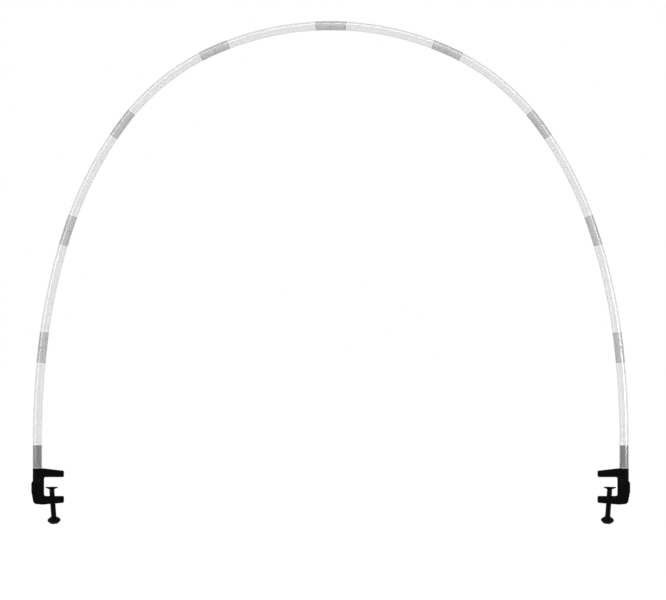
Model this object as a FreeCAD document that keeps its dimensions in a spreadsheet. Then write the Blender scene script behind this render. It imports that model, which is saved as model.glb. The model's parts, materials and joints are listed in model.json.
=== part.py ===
import FreeCAD, Part
import math
import os
import Sketcher

# Table-clamp arch frame: ten equal bent tubes, nine spigot connectors, and a screw clamp
# at the foot of each leg. Millimetres and degrees, +Z up, +X along the table, +Y across it.
# The origin lies midway between the clamps on the table's top face, which is the plane
# that the undersides of both upper jaws rest on.

doc = FreeCAD.newDocument("arch_frame")

SIZES = {
    # tubes
    "tube_length": 254.7,  # along the centreline, from connector middle to connector middle
    "tube_outer": 20.0,
    "tube_wall": 1.5,
    "tube_sides": 16,  # round tubes, collars and posts are drawn with this many flats
    "bend_sag": 0.4,  # bends are drawn in straight runs, which leave the arc by up to this
    "crown_turn": 23.8,  # how far each tube turns, from the crown downwards
    "shoulder_turn": 30.1,
    "upper_turn": 18.0,
    "lower_turn": 11.8,  # the base tube turns what is left of a quarter circle
    "base_straight": 52.0,  # straight foot of the base tube, which slips over the post
    # connectors
    "connector_length": 66.0,
    "connector_wall": 1.6,
    "connector_sides": 12,
    "connector_clearance": 0.2,  # radial, from the spigot's corners to the bore's flats
    "collar_width": 1.5,
    "end_gap": 0.05,  # tube's end to collar
    # clamp frame; its sizes run from the throat's face and from the table's top face
    "post_setback": 14.0,  # throat face to leg axis
    "socket_radius": 6.0,
    "boss_radius": 10.0,  # the boss is as thick as the whole clamp frame
    "boss_top": 18.3,
    "boss_foot": 8.6,  # below the table's top face
    "spine_shoulder": 12.6,
    "spine_outer": 26.6,
    "spine_taper_start": 30.4,
    "spine_foot_outer": 21.7,
    "jaw_reach": 42.3,
    "jaw_tip_height": 13.4,
    "throat_height": 40.3,
    "lower_jaw_tip": 54.6,
    "lower_jaw_root": 58.5,
    "heel_depth": 57.0,
    "root_setback": 2.5,
    "throat_fillet": 4.0,
    "tip_fillet": 3.0,
    "heel_fillet": 8.5,
    "rim_width": 4.0,
    "panel_depth": 2.0,
    "panel_top": 14.6,
    # post
    "post_height": 49.4,
    "post_clearance": 0.15,  # radial, at the corners of post and bore
    "post_lead_in": 1.2,
    "shank_length": 27.0,
    "running_clearance": 0.05,  # radial, for pieces that turn in each other
    "seat_gap": 0.1,
    # seat ring, which the leg stands on
    "ring_height": 2.6,
    "leg_gap": 0.3,  # tube's lower end above the ring
    # post pin
    "pin_radius": 1.5,
    "pin_offset": 5.4,  # pin axis beside the post axis
    "pin_depth": 6.0,  # below the table's top face
    "groove_clearance": 0.3,
    "pin_fit": 0.02,
    # screw, in its own leaning frame; heights run along its axis from the lower jaw
    "screw_lean": 4.2,
    "screw_setback": 18.2,  # throat face to screw axis, at jaw height
    "screw_jaw_depth": 48.0,
    "screw_radius": 5.9,
    "thread_clearance": 0.1,
    "screw_top": 15.1,
    "bearing_radius": 3.0,
    "bearing_length": 6.0,
    "tang_radius": 4.2,  # over the corners of its hexagon
    "tang_length": 11.0,
    # knob
    "knob_top": 36.2,
    "knob_middle": 43.5,
    "knob_base": 51.9,
    "knob_radius": 14.0,
    "knob_hub_radius": 6.3,
    "knob_base_radius": 5.6,
    "knob_sides": 16,
    # swivel stud and pad
    "stud_sides": 16,
    "stud_radius": 5.5,
    "stud_top": 23.0,
    "stud_neck_radius": 1.8,
    "button_radius": 3.2,
    "button_height": 1.0,
    "tilt_height": 24.9,  # the middle of the button, about which the pad tilts
    "tilt_clearance": 0.35,
    "pad_lean": 1.2,  # how the pad lies at rest; the screw leans more
    "pad_sides": 24,
    "pad_radius": 13.1,
    "pad_top": 27.2,
    "pad_rim": 2.3,
    "pad_bottom": 23.4,
    "pad_mouth_radius": 2.6,
}

sheet = doc.addObject("Spreadsheet::Sheet", "dim")
for row, (alias, size) in enumerate(SIZES.items(), start=1):
    sheet.set(f"A{row}", alias)
    sheet.set(f"B{row}", str(size))
    sheet.setAlias(f"B{row}", alias)
doc.recompute()


# ---------------------------------------------------------------- drawing helpers


def number(expression):
    """The value of an expression over the sheet's aliases."""
    return float(sheet.evalExpression(expression))


def new_body(label):
    body = doc.addObject("PartDesign::Body", label)
    body.Label = label
    return body


def origin_plane(body, role):
    return next(plane for plane in body.Origin.OriginFeatures if plane.Role == role)


def new_sketch(body, plane, name, offset="0"):
    """A sketch on one of the body's own planes, moved along the plane's normal by offset."""
    sketch = body.newObject("Sketcher::SketchObject", name)
    sketch.AttachmentSupport = [(origin_plane(body, plane), "")]
    sketch.MapMode = "FlatFace"
    sketch.setExpression("AttachmentOffset.Base.z", offset)
    return sketch


def dimension(sketch, kind, expression, *geometry):
    """A driving dimension whose value follows an expression."""
    index = sketch.addConstraint(Sketcher.Constraint(kind, *geometry, number(expression)))
    sketch.setExpression(f"Constraints[{index}]", expression)


def place(sketch, geometry, point, across, up):
    """Dimensions a point of the sketch from the sketch's origin."""
    dimension(sketch, "DistanceX", across, -1, 1, geometry, point)
    dimension(sketch, "DistanceY", up, -1, 1, geometry, point)


def outline(sketch, corners, closed=True):
    """Straight lines from corner to corner; each corner is a pair of expressions."""
    spots = [FreeCAD.Vector(number(across), number(up), 0) for across, up in corners]
    stops = spots[1:] + spots[:1] if closed else spots[1:]
    first = sketch.GeometryCount
    for line, (start, stop) in enumerate(zip(spots, stops), start=first):
        sketch.addGeometry(Part.LineSegment(start, stop), False)
        place(sketch, line, 1, *corners[line - first])
        if line > first:
            sketch.addConstraint(Sketcher.Constraint("Coincident", line - 1, 2, line, 1))
    if closed:
        sketch.addConstraint(Sketcher.Constraint("Coincident", line, 2, first, 1))
    else:
        place(sketch, line, 2, *corners[-1])


def circle(sketch, radius, across="0", up="0"):
    centre = FreeCAD.Vector(number(across), number(up), 0)
    normal = FreeCAD.Vector(0, 0, 1)
    index = sketch.addGeometry(Part.Circle(centre, normal, number(radius)), False)
    place(sketch, index, 3, across, up)
    dimension(sketch, "Radius", radius, index)


def regular(sketch, sides, radius):
    """A regular outline with its corners on a circle."""
    steps = [f"{corner} * 360 / {sides}" for corner in range(round(number(sides)))]
    outline(sketch, [(f"{radius} * cos({step})", f"{radius} * sin({step})") for step in steps])


def pad(body, sketch, length, both_ways=False, reverse=False):
    feature = body.newObject("PartDesign::Pad", f"{sketch.Name}_pad")
    feature.Profile = sketch
    feature.SideType = "Symmetric" if both_ways else "One side"
    feature.Reversed = reverse
    feature.setExpression("Length", length)
    return feature


def pocket(body, sketch, length=None, both_ways=False, reverse=False):
    feature = body.newObject("PartDesign::Pocket", f"{sketch.Name}_pocket")
    feature.Profile = sketch
    feature.SideType = "Symmetric" if both_ways else "One side"
    feature.Reversed = reverse
    if length is None:
        feature.Type = "ThroughAll"
    else:
        feature.setExpression("Length", length)
    return feature


def swept(body, section, path):
    """Carries a section along a path of straight lines, mitred where they meet."""
    feature = body.newObject("PartDesign::AdditivePipe", f"{path.Name}_sweep")
    doc.recompute()
    feature.Profile = section
    feature.Spine = (path, [f"Edge{line + 1}" for line in range(path.GeometryCount)])
    feature.Transition = "Right corner"
    return feature


def turned(body, name, corners):
    """A turned solid: the outline's first numbers are radii, its second are heights."""
    sketch = new_sketch(body, "XZ_Plane", name)
    outline(sketch, corners)
    feature = body.newObject("PartDesign::Revolution", f"{name}_turned")
    feature.Profile = sketch
    feature.ReferenceAxis = (sketch, ["V_Axis"])
    feature.Angle = 360
    return feature


def turned_in_flats(body, name, sides, core, corners):
    """A turned solid drawn with flats: a core, and the outline swept round it from the top down."""
    top, bottom = corners[0][1], corners[-1][1]
    middle = new_sketch(body, "XY_Plane", f"{name}_core", bottom)
    regular(middle, sides, core)
    pad(body, middle, f"{top} - ({bottom})")
    section = new_sketch(body, "XZ_Plane", name)
    outline(section, [(f"{core} / 2", top), *corners, (f"{core} / 2", bottom)])
    round_it = new_sketch(body, "XY_Plane", f"{name}_round")
    reach = f"{core} / cos(180 / {sides})"
    steps = [f"({corner} + 0.5) * 360 / {sides}" for corner in range(round(number(sides)))]
    turns = [(f"{reach} * cos({step})", f"{reach} * sin({step})") for step in steps]
    outline(round_it, [(core, "0"), *turns, (core, "0")], closed=False)
    swept(body, section, round_it)


def cross_edges(shape, corners):
    """Names of the edges that run across the clamp, along Y, through the given corners."""
    spots = [(number(across), number(up)) for across, up in corners]
    names = []
    for index, edge in enumerate(shape.Edges, start=1):
        first, last = edge.Vertexes[0].Point, edge.Vertexes[-1].Point
        runs_across = abs(first.x - last.x) < 0.01 and abs(first.z - last.z) < 0.01
        if runs_across and any(math.hypot(first.x - x, first.z - z) < 0.05 for x, z in spots):
            names.append(f"Edge{index}")
    return names


def rounded(body, base, names, radius):
    feature = body.newObject("PartDesign::Fillet", f"{base.Name}_round")
    feature.Base = (base, names)
    feature.setExpression("Radius", radius)
    doc.recompute()
    return feature


def turned_about_y(degrees):
    return FreeCAD.Rotation(FreeCAD.Vector(0, 1, 0), degrees)


HALF_TURN = FreeCAD.Placement(
    FreeCAD.Vector(0, 0, 0), FreeCAD.Rotation(FreeCAD.Vector(0, 0, 1), 180)
)


# ---------------------------------------------------------------- the arch's line

# one entry for each tube from the crown down: its name and how far it turns
TUBES = [
    ("crown", "dim.crown_turn"),
    ("shoulder", "dim.shoulder_turn"),
    ("upper", "dim.upper_turn"),
    ("lower", "dim.lower_turn"),
    ("base", "(90 - dim.crown_turn - dim.shoulder_turn - dim.upper_turn - dim.lower_turn)"),
]
BASE_ARC = "(dim.tube_length - dim.base_straight)"


def arc_length(tube):
    return BASE_ARC if tube == "base" else "dim.tube_length"


def bend_radius(tube, turn):
    return f"({arc_length(tube)} / ({turn} * pi / 180))"


def along_arc(start, slope, radius, turn):
    """The point and slope after following an arc of the arch's right half."""
    drop = math.radians(slope)
    end = math.radians(slope + turn)
    across = radius * (math.sin(end) - math.sin(drop))
    down = radius * (math.cos(drop) - math.cos(end))
    return start + FreeCAD.Vector(across, 0, -down), slope + turn


def arch_line():
    """Where the right half's joints lie, and the foot of its last arc, from the crown down."""
    joints = [(FreeCAD.Vector(0, 0, 0), 0.0)]
    for tube, turn in TUBES:
        radius, angle = number(bend_radius(tube, turn)), number(turn)
        joints.append(along_arc(*joints[-1], radius, angle))
    return joints


JOINTS = arch_line()
FOOT = JOINTS[-1][0]
HALF_SPAN = FOOT.x
HALF_THROAT = HALF_SPAN - number("dim.post_setback")
LEG_FOOT = "dim.boss_top + dim.seat_gap + dim.ring_height + dim.leg_gap"
CROWN_HEIGHT = number(f"{LEG_FOOT} + dim.base_straight") - FOOT.z


def corner_count(tube, turn):
    """How many straight runs' corners keep a bend as near to its arc as it should be."""
    run = math.sqrt(8 * number(f"dim.bend_sag * {bend_radius(tube, turn)}"))
    return math.ceil(number(arc_length(tube)) / run)


def bend_corners(tube, turn):
    """Where the straight runs that touch a tube's arc meet, seen from its upper joint."""
    radius, count = bend_radius(tube, turn), corner_count(tube, turn)
    reach = f"{radius} / cos({turn} / {2 * count})"
    angles = [f"{turn} * {corner + 0.5} / {count}" for corner in range(count)]
    return [(f"{reach} * sin({angle})", f"{reach} * cos({angle}) - {radius}") for angle in angles]


def on_arch(spot, slope, side):
    """The placement of a piece on the arch's right or left half."""
    lifted = spot + FreeCAD.Vector(0, 0, CROWN_HEIGHT)
    placement = FreeCAD.Placement(lifted, turned_about_y(slope))
    return placement if side == "right" else HALF_TURN.multiply(placement)


# ---------------------------------------------------------------- tubes and connectors

BORE_RADIUS = "(dim.tube_outer / 2 - dim.tube_wall)"
SPIGOT_RADIUS = f"({BORE_RADIUS} * cos(180 / dim.tube_sides) - dim.connector_clearance)"
SPIGOT_BORE = f"({SPIGOT_RADIUS} - dim.connector_wall)"
END_CUT = "(dim.collar_width / 2 + dim.end_gap)"


def bent_tube(label, tube, turn):
    """A hollow tube from its upper joint's collar to its lower one's, or to the leg's foot."""
    body = new_body(label)
    section = new_sketch(body, "YZ_Plane", f"{label}_section", END_CUT)
    regular(section, "dim.tube_sides", "dim.tube_outer / 2")
    regular(section, "dim.tube_sides", BORE_RADIUS)
    radius = bend_radius(tube, turn)
    past = "dim.base_straight" if tube == "base" else f"-{END_CUT}"
    end = (
        f"{radius} * sin({turn}) + {past} * cos({turn})",
        f"{radius} * (cos({turn}) - 1) - {past} * sin({turn})",
    )
    path = new_sketch(body, "XZ_Plane", f"{label}_path")
    outline(path, [(END_CUT, "0"), *bend_corners(tube, turn), end], closed=False)
    swept(body, section, path)
    return body


def spigot_line(tube, turn, way):
    """From a joint to the spigot's end, turning where the tube round it first turns."""
    half = "dim.connector_length / 2"
    step = f"{turn} / {corner_count(tube, turn)}"
    first = f"({bend_radius(tube, turn)} * tan({step} / 2))"
    if number(half) <= number(first):
        return [("0", "0"), (f"{way} * {half}", "0")]
    rest = f"({half} - {first})"
    end = (f"{way} * ({first} + {rest} * cos({step}))", f"-{rest} * sin({step})")
    return [("0", "0"), (f"{way} * {first}", "0"), end]


def connector(label, above, below):
    """A hollow spigot, bent as both tubes are, with a collar flush with them."""
    body = new_body(label)
    section = new_sketch(body, "YZ_Plane", f"{label}_section")
    regular(section, "dim.connector_sides", SPIGOT_RADIUS)
    regular(section, "dim.connector_sides", SPIGOT_BORE)
    for (tube, turn), name, way in ((above, "upper", -1), (below, "lower", 1)):
        line = new_sketch(body, "XZ_Plane", f"{label}_{name}")
        outline(line, spigot_line(tube, turn, way), closed=False)
        swept(body, section, line)
    collar = new_sketch(body, "YZ_Plane", f"{label}_collar")
    regular(collar, "dim.tube_sides", "dim.tube_outer / 2")
    regular(collar, "dim.connector_sides", f"({SPIGOT_RADIUS} - dim.connector_wall / 2)")
    pad(body, collar, "dim.collar_width", both_ways=True)
    return body


def build_arch():
    pieces = [connector("crown_connector", TUBES[0], TUBES[0])]
    pieces[0].Placement = on_arch(*JOINTS[0], "right")
    for side in ("left", "right"):
        for place_in_line, (tube, turn) in enumerate(TUBES):
            piece = bent_tube(f"{side}_{tube}_tube", tube, turn)
            piece.Placement = on_arch(*JOINTS[place_in_line], side)
            pieces.append(piece)
            if tube == "base":
                continue
            joint = connector(f"{side}_{tube}_connector", (tube, turn), TUBES[place_in_line + 1])
            joint.Placement = on_arch(*JOINTS[place_in_line + 1], side)
            pieces.append(joint)
    return pieces


# ---------------------------------------------------------------- post, its pin and ring


def post(label):
    """The plug in the leg's foot; its shank turns in the clamp's socket on the pin's groove."""
    body = new_body(label)
    shank = "(dim.socket_radius - dim.running_clearance)"
    groove = "(dim.pin_offset - dim.pin_radius - dim.groove_clearance)"
    groove_middle = "(-dim.boss_top - dim.pin_depth)"
    groove_half = "(dim.pin_radius + dim.groove_clearance)"
    turned(body, f"{label}_shank", [
        ("0", "-dim.shank_length"),
        (shank, "-dim.shank_length"),
        (shank, f"{groove_middle} - {groove_half}"),
        (groove, f"{groove_middle} - {groove_half}"),
        (groove, f"{groove_middle} + {groove_half}"),
        (shank, f"{groove_middle} + {groove_half}"),
        (shank, "dim.seat_gap"),
        ("0", "dim.seat_gap"),
    ])
    section = new_sketch(body, "XY_Plane", f"{label}_plug", "dim.seat_gap")
    regular(section, "dim.tube_sides", f"({BORE_RADIUS} - dim.post_clearance)")
    plug = pad(body, section, "dim.post_height - dim.seat_gap")
    doc.recompute()
    top = number("dim.post_height")
    rim = [f"Edge{index}" for index, edge in enumerate(plug.Shape.Edges, start=1)
           if edge.BoundBox.ZMin > top - 0.01]
    lead_in = body.newObject("PartDesign::Chamfer", f"{label}_lead_in")
    lead_in.Base = (plug, rim)
    lead_in.setExpression("Size", "dim.post_lead_in")
    return body


def post_pin(label):
    """A plain cross pin, as long as the clamp frame is thick."""
    body = new_body(label)
    sketch = new_sketch(body, "XZ_Plane", f"{label}_section")
    circle(sketch, "dim.pin_radius - dim.pin_fit")
    pad(body, sketch, "2 * dim.boss_radius", both_ways=True)
    return body


def seat_ring(label):
    """A flat ring round the post's root, flush with the leg that stands on it."""
    body = new_body(label)
    sketch = new_sketch(body, "XY_Plane", f"{label}_section")
    regular(sketch, "dim.tube_sides", "dim.tube_outer / 2")
    regular(sketch, "dim.tube_sides", BORE_RADIUS)
    pad(body, sketch, "dim.ring_height")
    return body


# ---------------------------------------------------------------- clamp frame

# corners of the C seen from the front: across from the throat's face, up from the table
THROAT_TOP = ("0", "0")
THROAT_BOTTOM = ("0", "-dim.throat_height")
UPPER_TIP_TOP = ("dim.jaw_reach", "dim.jaw_tip_height")
UPPER_TIP_BOTTOM = ("dim.jaw_reach", "0")
LOWER_TIP_TOP = ("dim.jaw_reach", "-dim.throat_height")
LOWER_TIP_BOTTOM = ("dim.jaw_reach", "-dim.lower_jaw_tip")
HEEL = ("-dim.spine_foot_outer", "-dim.heel_depth")


def clamp_profile(body, label):
    """The C itself, with its round boss for the post."""
    sketch = new_sketch(body, "XZ_Plane", f"{label}_profile")
    outline(sketch, [
        ("-dim.post_setback", "dim.boss_top"),
        ("0", "dim.boss_top"),
        UPPER_TIP_TOP,
        UPPER_TIP_BOTTOM,
        THROAT_TOP,
        THROAT_BOTTOM,
        LOWER_TIP_TOP,
        LOWER_TIP_BOTTOM,
        ("-dim.root_setback", "-dim.lower_jaw_root"),
        HEEL,
        ("-dim.spine_outer", "-dim.spine_taper_start"),
        ("-dim.spine_outer", "-dim.spine_shoulder"),
        ("-dim.post_setback - dim.boss_radius", "-dim.boss_foot"),
        ("-dim.post_setback", "-dim.boss_foot"),
    ])
    slab = pad(body, sketch, "2 * dim.boss_radius", both_ways=True)
    doc.recompute()
    for corners, radius in (
        ([THROAT_TOP, THROAT_BOTTOM], "dim.throat_fillet"),
        ([UPPER_TIP_TOP, UPPER_TIP_BOTTOM, LOWER_TIP_TOP, LOWER_TIP_BOTTOM], "dim.tip_fillet"),
        ([HEEL], "dim.heel_fillet"),
    ):
        slab = rounded(body, slab, cross_edges(slab.Shape, corners), radius)
    boss = new_sketch(body, "XY_Plane", f"{label}_boss", "-dim.boss_foot")
    circle(boss, "dim.boss_radius", "-dim.post_setback")
    pad(body, boss, "dim.boss_top + dim.boss_foot")


def recess(body, name, corners):
    """A shallow panel in the front face, and the same in the back face."""
    sketch = new_sketch(body, "XZ_Plane", name, "dim.boss_radius - dim.panel_depth")
    outline(sketch, corners)
    front = pocket(body, sketch, "dim.panel_depth + 1", reverse=True)
    both = body.newObject("PartDesign::Mirrored", f"{name}_both")
    both.Originals = [front]
    both.MirrorPlane = (origin_plane(body, "XZ_Plane"), [""])
    body.Tip = both


def clamp_frame(label):
    """The C-shaped moulding: panelled jaws and spine, post socket, pin hole and screw bore."""
    body = new_body(label)
    clamp_profile(body, label)
    recess(body, f"{label}_upper_panel", [
        ("0", "dim.rim_width"),
        ("dim.jaw_reach - dim.rim_width", "dim.rim_width"),
        ("dim.jaw_reach - dim.rim_width", "dim.jaw_tip_height - dim.rim_width"),
        ("0", "dim.boss_top - dim.rim_width"),
    ])
    recess(body, f"{label}_lower_panel", [
        ("-dim.spine_outer + dim.rim_width", "-dim.panel_top"),
        ("-dim.rim_width", "-dim.panel_top"),
        ("-dim.rim_width", "-dim.throat_height - dim.rim_width"),
        ("dim.jaw_reach - dim.rim_width", "-dim.throat_height - dim.rim_width"),
        ("dim.jaw_reach - dim.rim_width", "-dim.lower_jaw_tip + dim.rim_width"),
        ("-dim.root_setback", "-dim.lower_jaw_root + dim.rim_width"),
        ("-dim.spine_foot_outer + dim.rim_width", "-dim.heel_depth + dim.rim_width"),
        ("-dim.spine_outer + dim.rim_width", "-dim.spine_taper_start"),
    ])
    socket = new_sketch(body, "XY_Plane", f"{label}_socket", "dim.boss_top")
    circle(socket, "dim.socket_radius", "-dim.post_setback")
    pocket(body, socket, "dim.shank_length + dim.running_clearance")
    hole = new_sketch(body, "XZ_Plane", f"{label}_pin_hole")
    circle(hole, "dim.pin_radius", "-dim.post_setback + dim.pin_offset", "-dim.pin_depth")
    pocket(body, hole, "2 * dim.boss_radius + 1", both_ways=True)
    bore = body.newObject("PartDesign::SubtractiveCylinder", f"{label}_screw_bore")
    bore.AttachmentSupport = [(origin_plane(body, "XY_Plane"), "")]
    bore.MapMode = "FlatFace"
    below_jaw = FreeCAD.Vector(0, 0, -2 * number("dim.screw_top"))
    start = FreeCAD.Placement(below_jaw, FreeCAD.Rotation())
    bore.AttachmentOffset = SCREW_FRAME.multiply(start)
    bore.setExpression("Radius", "dim.screw_radius + dim.thread_clearance")
    bore.setExpression("Height", "3 * dim.screw_top")
    return body


# ---------------------------------------------------------------- screw, knob, stud and pad

SCREW_FRAME = FreeCAD.Placement(
    FreeCAD.Vector(number("dim.screw_setback"), 0, -number("dim.screw_jaw_depth")),
    turned_about_y(-number("dim.screw_lean")),
)
TILT_CENTRE = FreeCAD.Vector(0, 0, number("dim.tilt_height"))
LEVELLING = turned_about_y(number("dim.screw_lean - dim.pad_lean"))
PAD_FRAME = SCREW_FRAME.multiply(FreeCAD.Placement(FreeCAD.Vector(), LEVELLING, TILT_CENTRE))


def screw(label):
    """The spindle at its thread's outer size: hexagon tang below, bearing end above."""
    body = new_body(label)
    turned(body, f"{label}_outline", [
        ("0", "-dim.knob_top"),
        ("dim.screw_radius", "-dim.knob_top"),
        ("dim.screw_radius", "dim.screw_top"),
        ("dim.bearing_radius", "dim.screw_top"),
        ("dim.bearing_radius", "dim.screw_top + dim.bearing_length"),
        ("0", "dim.screw_top + dim.bearing_length"),
    ])
    tang = new_sketch(body, "XY_Plane", f"{label}_tang", "-dim.knob_top")
    regular(tang, "6", "dim.tang_radius")
    pad(body, tang, "dim.tang_length", reverse=True)
    return body


def lens_corners(end, end_radius):
    """Half of the grip's profile, from its widest height out to one end."""
    corners = []
    for share in (0.25, 0.5, 0.75, 1):
        drawn_in = f"{share ** 2} * (dim.knob_radius - {end_radius})"
        height = f"-dim.knob_middle + {share} * (dim.knob_middle - {end})"
        corners.append((f"dim.knob_radius - {drawn_in}", height))
    return corners


def knob(label):
    """A lens-shaped grip, moulded on the screw's hexagon tang."""
    body = new_body(label)
    above = lens_corners("dim.knob_top", "dim.knob_hub_radius")
    below = lens_corners("dim.knob_base", "dim.knob_base_radius")
    widest = ("dim.knob_radius", "-dim.knob_middle")
    turned_in_flats(body, f"{label}_lens", "dim.knob_sides", "dim.tang_radius",
                    [*reversed(above), widest, *below])
    doc.recompute()
    tang = new_sketch(body, "XY_Plane", f"{label}_tang_hole", "-dim.knob_top")
    regular(tang, "6", "dim.tang_radius")
    pocket(body, tang, "dim.tang_length")
    return body


def swivel_stud(label):
    """The cap that the screw's end turns in, and the button that the pad tilts on."""
    body = new_body(label)
    bottom = "dim.screw_top + dim.running_clearance"
    bore = "dim.bearing_radius + dim.running_clearance"
    roof = "dim.screw_top + dim.bearing_length + 2 * dim.running_clearance"
    turned_in_flats(body, f"{label}_outline", "dim.stud_sides", "dim.stud_neck_radius / 2", [
        ("dim.button_radius", "dim.tilt_height + dim.button_height / 2"),
        ("dim.button_radius", "dim.tilt_height - dim.button_height / 2"),
        ("dim.stud_neck_radius", "dim.tilt_height - dim.button_height / 2"),
        ("dim.stud_neck_radius", "dim.stud_top"),
        ("dim.stud_radius", "dim.stud_top"),
        ("dim.stud_radius", bottom),
        (bore, bottom),
        (bore, roof),
    ])
    return body


def pressure_pad(label):
    """The round foot: a disc, coned underneath, with a lipped hollow round the button."""
    body = new_body(label)
    hollow = "dim.button_radius + dim.tilt_clearance"
    lip = "dim.tilt_height - dim.button_height / 2 - dim.tilt_clearance"
    roof = "dim.tilt_height + dim.button_height / 2 + dim.tilt_clearance"
    turned_in_flats(body, f"{label}_outline", "dim.pad_sides", "dim.pad_mouth_radius / 2", [
        ("dim.pad_radius", "dim.pad_top"),
        ("dim.pad_radius", "dim.pad_top - dim.pad_rim"),
        ("dim.pad_mouth_radius", "dim.pad_bottom"),
        ("dim.pad_mouth_radius", lip),
        (hollow, lip),
        (hollow, roof),
    ])
    return body


# ---------------------------------------------------------------- the two feet


def build_foot(side):
    """A clamp with its post and screw; the right one is the left one turned round."""
    turn = FreeCAD.Rotation(FreeCAD.Vector(0, 0, 1), 180 if side == "right" else 0)
    reach = HALF_THROAT if side == "right" else -HALF_THROAT
    clamp = FreeCAD.Placement(FreeCAD.Vector(reach, 0, 0), turn)
    setback = number("dim.post_setback")
    post_spot = FreeCAD.Vector(-setback, 0, number("dim.boss_top"))
    pin_spot = FreeCAD.Vector(number("dim.pin_offset") - setback, 0, -number("dim.pin_depth"))
    ring_spot = post_spot + FreeCAD.Vector(0, 0, number("dim.seat_gap"))
    upright = FreeCAD.Rotation()
    makers = [
        ("post", post, FreeCAD.Placement(post_spot, upright)),
        ("post_pin", post_pin, FreeCAD.Placement(pin_spot, upright)),
        ("seat_ring", seat_ring, FreeCAD.Placement(ring_spot, upright)),
        ("clamp_frame", clamp_frame, FreeCAD.Placement()),
        ("screw", screw, SCREW_FRAME),
        ("knob", knob, SCREW_FRAME),
        ("swivel_stud", swivel_stud, SCREW_FRAME),
        ("pad", pressure_pad, PAD_FRAME),
    ]
    pieces = []
    for name, maker, spot in makers:
        piece = maker(f"{side}_{name}")
        piece.Placement = clamp.multiply(spot)
        pieces.append(piece)
    return pieces


# ---------------------------------------------------------------- build, check and write

nodes = build_arch() + build_foot("left") + build_foot("right")
doc.recompute()

for item in doc.Objects:
    if any(state in item.State for state in ("Invalid", "Error")):
        raise RuntimeError(f"{item.Label} did not build: {item.State}")
for node in nodes:
    if node.Shape.isNull() or not node.Shape.isValid() or len(node.Shape.Solids) != 1:
        raise RuntimeError(f"{node.Label} is not one sound solid")

os.makedirs("parts", exist_ok=True)
for node in nodes:
    node.Shape.exportStep(f"parts/{node.Label}.step")

tilt = PAD_FRAME.multVec(TILT_CENTRE)
print(f"pad tilts about {tilt.x:.3f} from the throat's face, {tilt.z:.3f} high")
print(f"{len(nodes)} pieces; leg axes {2 * HALF_SPAN:.1f} apart; throats {2 * HALF_THROAT:.1f}"
      f" apart; crown centreline {CROWN_HEIGHT:.1f} above the table")
for tube, turn in TUBES:
    print(f"{tube} tube turns {number(turn):.1f} degrees at radius"
          f" {number(bend_radius(tube, turn)):.0f}")
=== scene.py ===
import bmesh
import bpy
import json
import math
from bpy.props import FloatProperty, FloatVectorProperty, IntProperty, PointerProperty
from mathutils import Matrix, Vector


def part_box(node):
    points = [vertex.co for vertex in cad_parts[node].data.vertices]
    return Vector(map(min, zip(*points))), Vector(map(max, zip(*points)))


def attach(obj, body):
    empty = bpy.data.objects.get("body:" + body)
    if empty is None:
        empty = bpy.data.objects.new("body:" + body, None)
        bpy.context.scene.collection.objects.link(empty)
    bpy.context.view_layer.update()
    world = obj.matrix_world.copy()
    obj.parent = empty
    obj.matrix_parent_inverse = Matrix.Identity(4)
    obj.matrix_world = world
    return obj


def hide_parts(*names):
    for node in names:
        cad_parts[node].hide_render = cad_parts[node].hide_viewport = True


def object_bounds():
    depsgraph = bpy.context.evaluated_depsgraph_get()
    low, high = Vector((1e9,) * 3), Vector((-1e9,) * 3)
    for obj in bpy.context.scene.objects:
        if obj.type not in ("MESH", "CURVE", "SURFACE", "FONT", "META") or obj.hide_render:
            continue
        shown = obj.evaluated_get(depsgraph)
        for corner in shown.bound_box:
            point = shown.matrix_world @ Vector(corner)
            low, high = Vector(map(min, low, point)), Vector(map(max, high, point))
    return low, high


bl_info = {
    "name": "Table-clamp arch frame",
    "version": (1, 0, 0),
    "blender": (4, 5, 0),
    "location": "3D View > Sidebar > Arch",
    "description": "Milky tubes, grey connectors and black screw clamps of a table-top arch",
    "category": "Object",
}

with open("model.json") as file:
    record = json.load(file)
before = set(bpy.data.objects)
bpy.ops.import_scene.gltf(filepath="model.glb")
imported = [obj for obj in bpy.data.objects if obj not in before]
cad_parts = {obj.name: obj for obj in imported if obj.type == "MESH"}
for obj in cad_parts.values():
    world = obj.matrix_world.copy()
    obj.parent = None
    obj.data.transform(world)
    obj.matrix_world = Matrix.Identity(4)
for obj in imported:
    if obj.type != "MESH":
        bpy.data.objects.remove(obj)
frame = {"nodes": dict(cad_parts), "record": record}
CAD_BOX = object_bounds()

SIDES = ("left", "right")
HALF_TURN = Matrix.Rotation(math.pi, 4, "Z")
MM = 0.001


# ---- sizes and colours


def number(name, description, default, **settings):
    return FloatProperty(name=name, description=description, default=default, **settings)


def length(name, description, default):
    return number(name, description, default, unit="LENGTH", precision=5)


def angle(name, description, degrees):
    return number(name, description, math.radians(degrees), unit="ROTATION")


def count(name, description, default):
    return IntProperty(name=name, description=description, default=default)


def colour(name, description, default):
    return FloatVectorProperty(name=name, description=description, default=default, size=3,
                               min=0, max=1, subtype="COLOR")


def middle(node):
    low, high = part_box(node)
    return (low + high) / 2


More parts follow.
